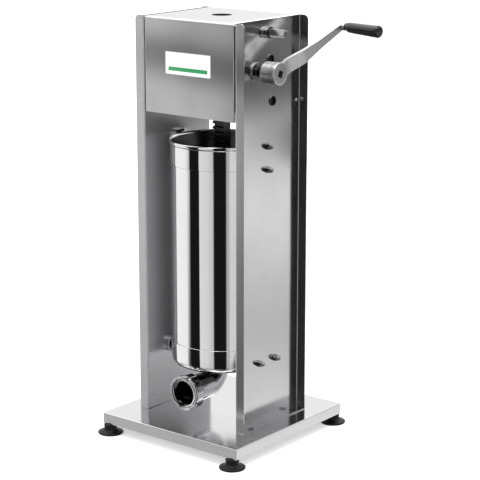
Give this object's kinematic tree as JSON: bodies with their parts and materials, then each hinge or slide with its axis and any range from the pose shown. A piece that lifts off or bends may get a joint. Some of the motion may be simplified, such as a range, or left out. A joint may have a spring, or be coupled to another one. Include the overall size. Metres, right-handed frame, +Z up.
{
  "type": "sausage stuffer",
  "caption": "Upright hand-cranked sausage stuffer in stainless steel: rack-driven piston in a tall cylinder, elbow outlet with ring nut, gear hood and suction feet.",
  "frame": {"origin": "on the floor, under the middle of the base and the cylinder's axis", "axes": "+Z up; -Y is the front, where the outlet points; +X is the crank side"},
  "size_m": [0.5424, 0.444, 0.976],
  "materials": {
    "polished_steel": "mirror-polished stainless steel",
    "satin_steel": "satin stainless sheet with a soft grain",
    "plate_steel": "ground plate",
    "cast_steel": "turned and blasted steel",
    "fastener_steel": "bright stainless fasteners",
    "gear_steel": "machined gear steel, lightly oiled",
    "bronze": "plain bearing bronze",
    "black_rubber": "moulded black rubber",
    "black_plastic": "glossy black plastic",
    "white_nylon": "white food-grade nylon",
    "seal_rubber": "pale food-grade silicone",
    "label": "blank white label"
  },
  "bodies": {
    "cabinet": {"base_tray": "polished_steel", "catch_bolts": "fastener_steel", "catch_left": "satin_steel", "catch_nuts": "fastener_steel", "catch_right": "satin_steel", "catch_studs": "polished_steel", "cradle_bolts": "fastener_steel", "cradle_discs": "satin_steel", "cradle_nuts": "fastener_steel", "cylinder": "polished_steel", "drive_bush_left": "bronze", "drive_bush_middle": "bronze", "drive_bush_right": "polished_steel", "flange_bolts": "fastener_steel", "flange_nuts": "fastener_steel", "foot_bolts": "fastener_steel", "foot_front_left": "black_rubber", "foot_front_right": "black_rubber", "foot_nuts": "fastener_steel", "foot_rear_left": "black_rubber", "foot_rear_right": "black_rubber", "gearbox_bolts": "fastener_steel", "gearbox_deck": "plate_steel", "gearbox_plate_left": "plate_steel", "gearbox_plate_right": "plate_steel", "guide_beam": "plate_steel", "hood": "satin_steel", "hood_screws": "fastener_steel", "label_plate": "label", "middle_bearing_plate": "plate_steel", "outlet_elbow": "polished_steel", "outlet_ferrule": "polished_steel", "power_bush_middle": "bronze", "power_bush_right": "polished_steel", "rack_guide": "bronze", "side_panel_left": "polished_steel", "side_panel_right": "polished_steel", "trunnions": "polished_steel"},
    "ram": {"rack": "gear_steel", "piston": "white_nylon", "piston_seal": "seal_rubber", "piston_nut": "gear_steel"},
    "air_valve": {"valve_poppet": "white_nylon"},
    "drive": {"drive_shaft": "gear_steel", "rack_pinion": "gear_steel", "drive_gear": "gear_steel", "drive_keys": "gear_steel", "pinion_sleeves": "gear_steel", "drive_ring": "gear_steel"},
    "power": {"power_shaft": "gear_steel", "power_pinion": "gear_steel", "power_key": "gear_steel", "power_ring": "gear_steel"},
    "crank": {"crank_hub": "cast_steel", "crank_arm": "cast_steel", "grip_pin": "cast_steel"},
    "handgrip": {"grip": "black_plastic"},
    "outlet_nut": {"ring_nut": "polished_steel"}
  },
  "joints": [
    {"name": "ram_lift", "type": "slide", "parent": "cabinet", "child": "ram", "axis": [0, 0, 1], "range_m": [0, 0.524]},
    {"name": "drive_turn", "type": "hinge", "parent": "cabinet", "child": "drive", "pos_m": [0, -0.045, 0.865], "axis": [1, 0, 0], "range_deg": [0, 938.7]},
    {"name": "power_turn", "type": "hinge", "parent": "cabinet", "child": "power", "pos_m": [0.1, -0.00839, 0.94722], "axis": [1, 0, 0], "range_deg": [-2580.6, 0]},
    {"name": "crank_pull_off", "type": "slide", "parent": "drive", "child": "crank", "axis": [1, 0, 0], "range_m": [0, 0.06]},
    {"name": "grip_spin", "type": "hinge", "parent": "crank", "child": "handgrip", "pos_m": [0.21999, 0.15385, 0.95188], "axis": [0.9962, -0.0799, -0.0349], "continuous": true},
    {"name": "ring_nut_turn", "type": "hinge", "parent": "cabinet", "child": "outlet_nut", "pos_m": [0, -0.128, 0.122], "axis": [0, -1, 0], "continuous": true},
    {"name": "valve_lift", "type": "slide", "parent": "ram", "child": "air_valve", "axis": [0, 0, 1], "range_m": [0, 0.003]}
  ],
  "couplings": [
    {"joint": "drive_turn", "follows": "ram_lift", "rad_per_m": 31.25},
    {"joint": "power_turn", "follows": "ram_lift", "rad_per_m": -85.938}
  ]
}
